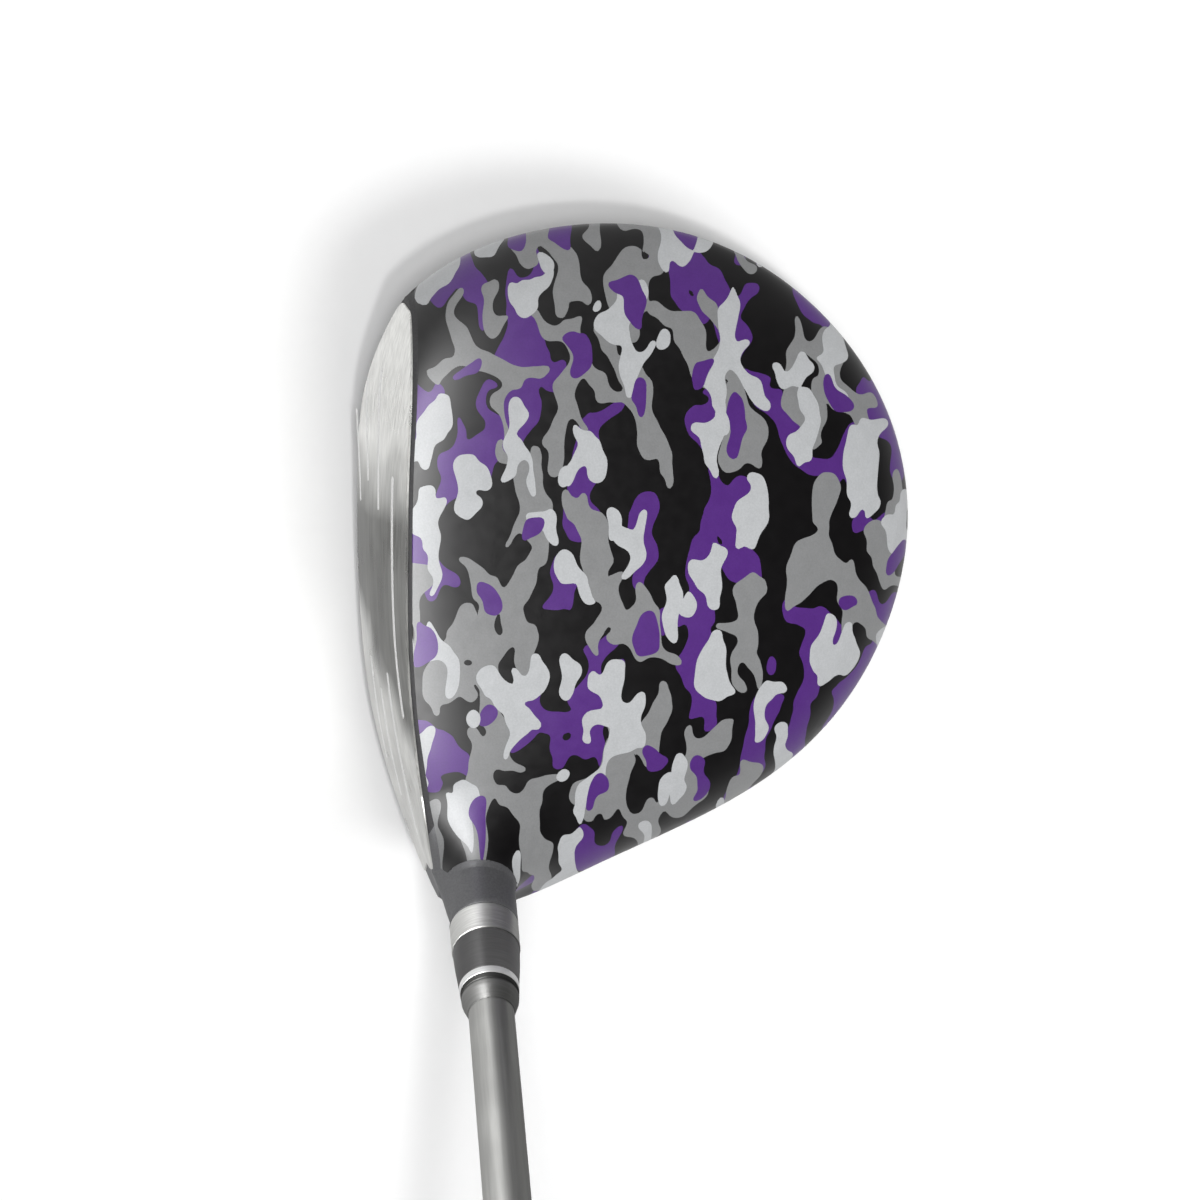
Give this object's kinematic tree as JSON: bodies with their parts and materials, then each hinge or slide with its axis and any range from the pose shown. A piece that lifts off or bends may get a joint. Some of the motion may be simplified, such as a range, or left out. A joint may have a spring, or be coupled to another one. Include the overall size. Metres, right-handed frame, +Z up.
{
  "type": "golf driver",
  "caption": "Golf driver with a hollow camouflage-printed head, brushed lofted face, releasable hosel sleeve, tapered shaft and rubber grip.",
  "frame": {"origin": "middle of the flat under the sole, which rests on the ground at address", "axes": "+Z up, -Y the way the face looks, -X towards the toe, +X towards the heel and the player"},
  "size_m": [0.7314, 0.1079, 0.9721],
  "materials": {
    "grip_rubber": "matte moulded rubber",
    "tape": "paper-backed double-sided tape",
    "shaft_graphite": "satin grey coated graphite",
    "ferrule_plastic": "semi-gloss turned plastic",
    "trim_silver": "bright satin",
    "sleeve_aluminium": "fine brushed",
    "body_paint": "satin gunmetal paint",
    "insert_steel": "machined",
    "crown_composite": "moulded composite",
    "crown_print": "semi-gloss printed film in black, greys, white and purple",
    "adhesive": "cured glue",
    "face_steel": "brushed heel to toe",
    "score_white": "white paint fill",
    "bare_casting": "bare casting",
    "damping": "tacky damping compound",
    "weight_steel": "turned, bead blasted",
    "screw_steel": "machined"
  },
  "bodies": {
    "shaft": {"shaft": "shaft_graphite", "grip": "grip_rubber", "grip_end_cap": "grip_rubber", "grip_tape": "tape", "ferrule": "ferrule_plastic", "trim_ring": "trim_silver", "ferrule_cap": "ferrule_plastic", "loft_sleeve": "sleeve_aluminium"},
    "head": {"head_body": "body_paint", "hosel": "body_paint", "hosel_seat": "insert_steel", "crown": "crown_composite", "crown_film": "crown_print", "crown_adhesive": "adhesive", "face_cup": "face_steel", "score_paint": "score_white", "sole_ribs": "bare_casting", "damping_pad": "damping", "weight_boss": "bare_casting"},
    "bolt_washer": {"bolt_washer": "screw_steel"},
    "hosel_bolt": {"hosel_bolt": "screw_steel"},
    "rear_weight": {"rear_weight": "weight_steel"},
    "weight_screw": {"weight_screw": "screw_steel"}
  },
  "joints": [
    {"name": "head_release", "type": "slide", "parent": "shaft", "child": "head", "axis": [-0.5446, 0, -0.8387], "range_m": [0, 0.045]},
    {"name": "bolt_out", "type": "slide", "parent": "head", "child": "bolt_washer", "axis": [-0.5446, 0, -0.8387], "range_m": [0, 0.008]},
    {"name": "bolt_turn", "type": "hinge", "parent": "bolt_washer", "child": "hosel_bolt", "pos_m": [0.03707, -0.0068, 0.02013], "axis": [-0.5446, 0, -0.8387], "range_deg": [0, 3601]},
    {"name": "weight_out", "type": "slide", "parent": "head", "child": "rear_weight", "axis": [0, 0.342, -0.9397], "range_m": [0, 0.0056]},
    {"name": "weight_turn", "type": "hinge", "parent": "rear_weight", "child": "weight_screw", "pos_m": [-0.004, 0.061, 0.0107], "axis": [0, 0.342, -0.9397], "range_deg": [0, 2881]}
  ],
  "couplings": [
    {"joint": "bolt_turn", "follows": "bolt_out", "rad_per_m": 7854},
    {"joint": "weight_turn", "follows": "weight_out", "rad_per_m": 8976}
  ]
}
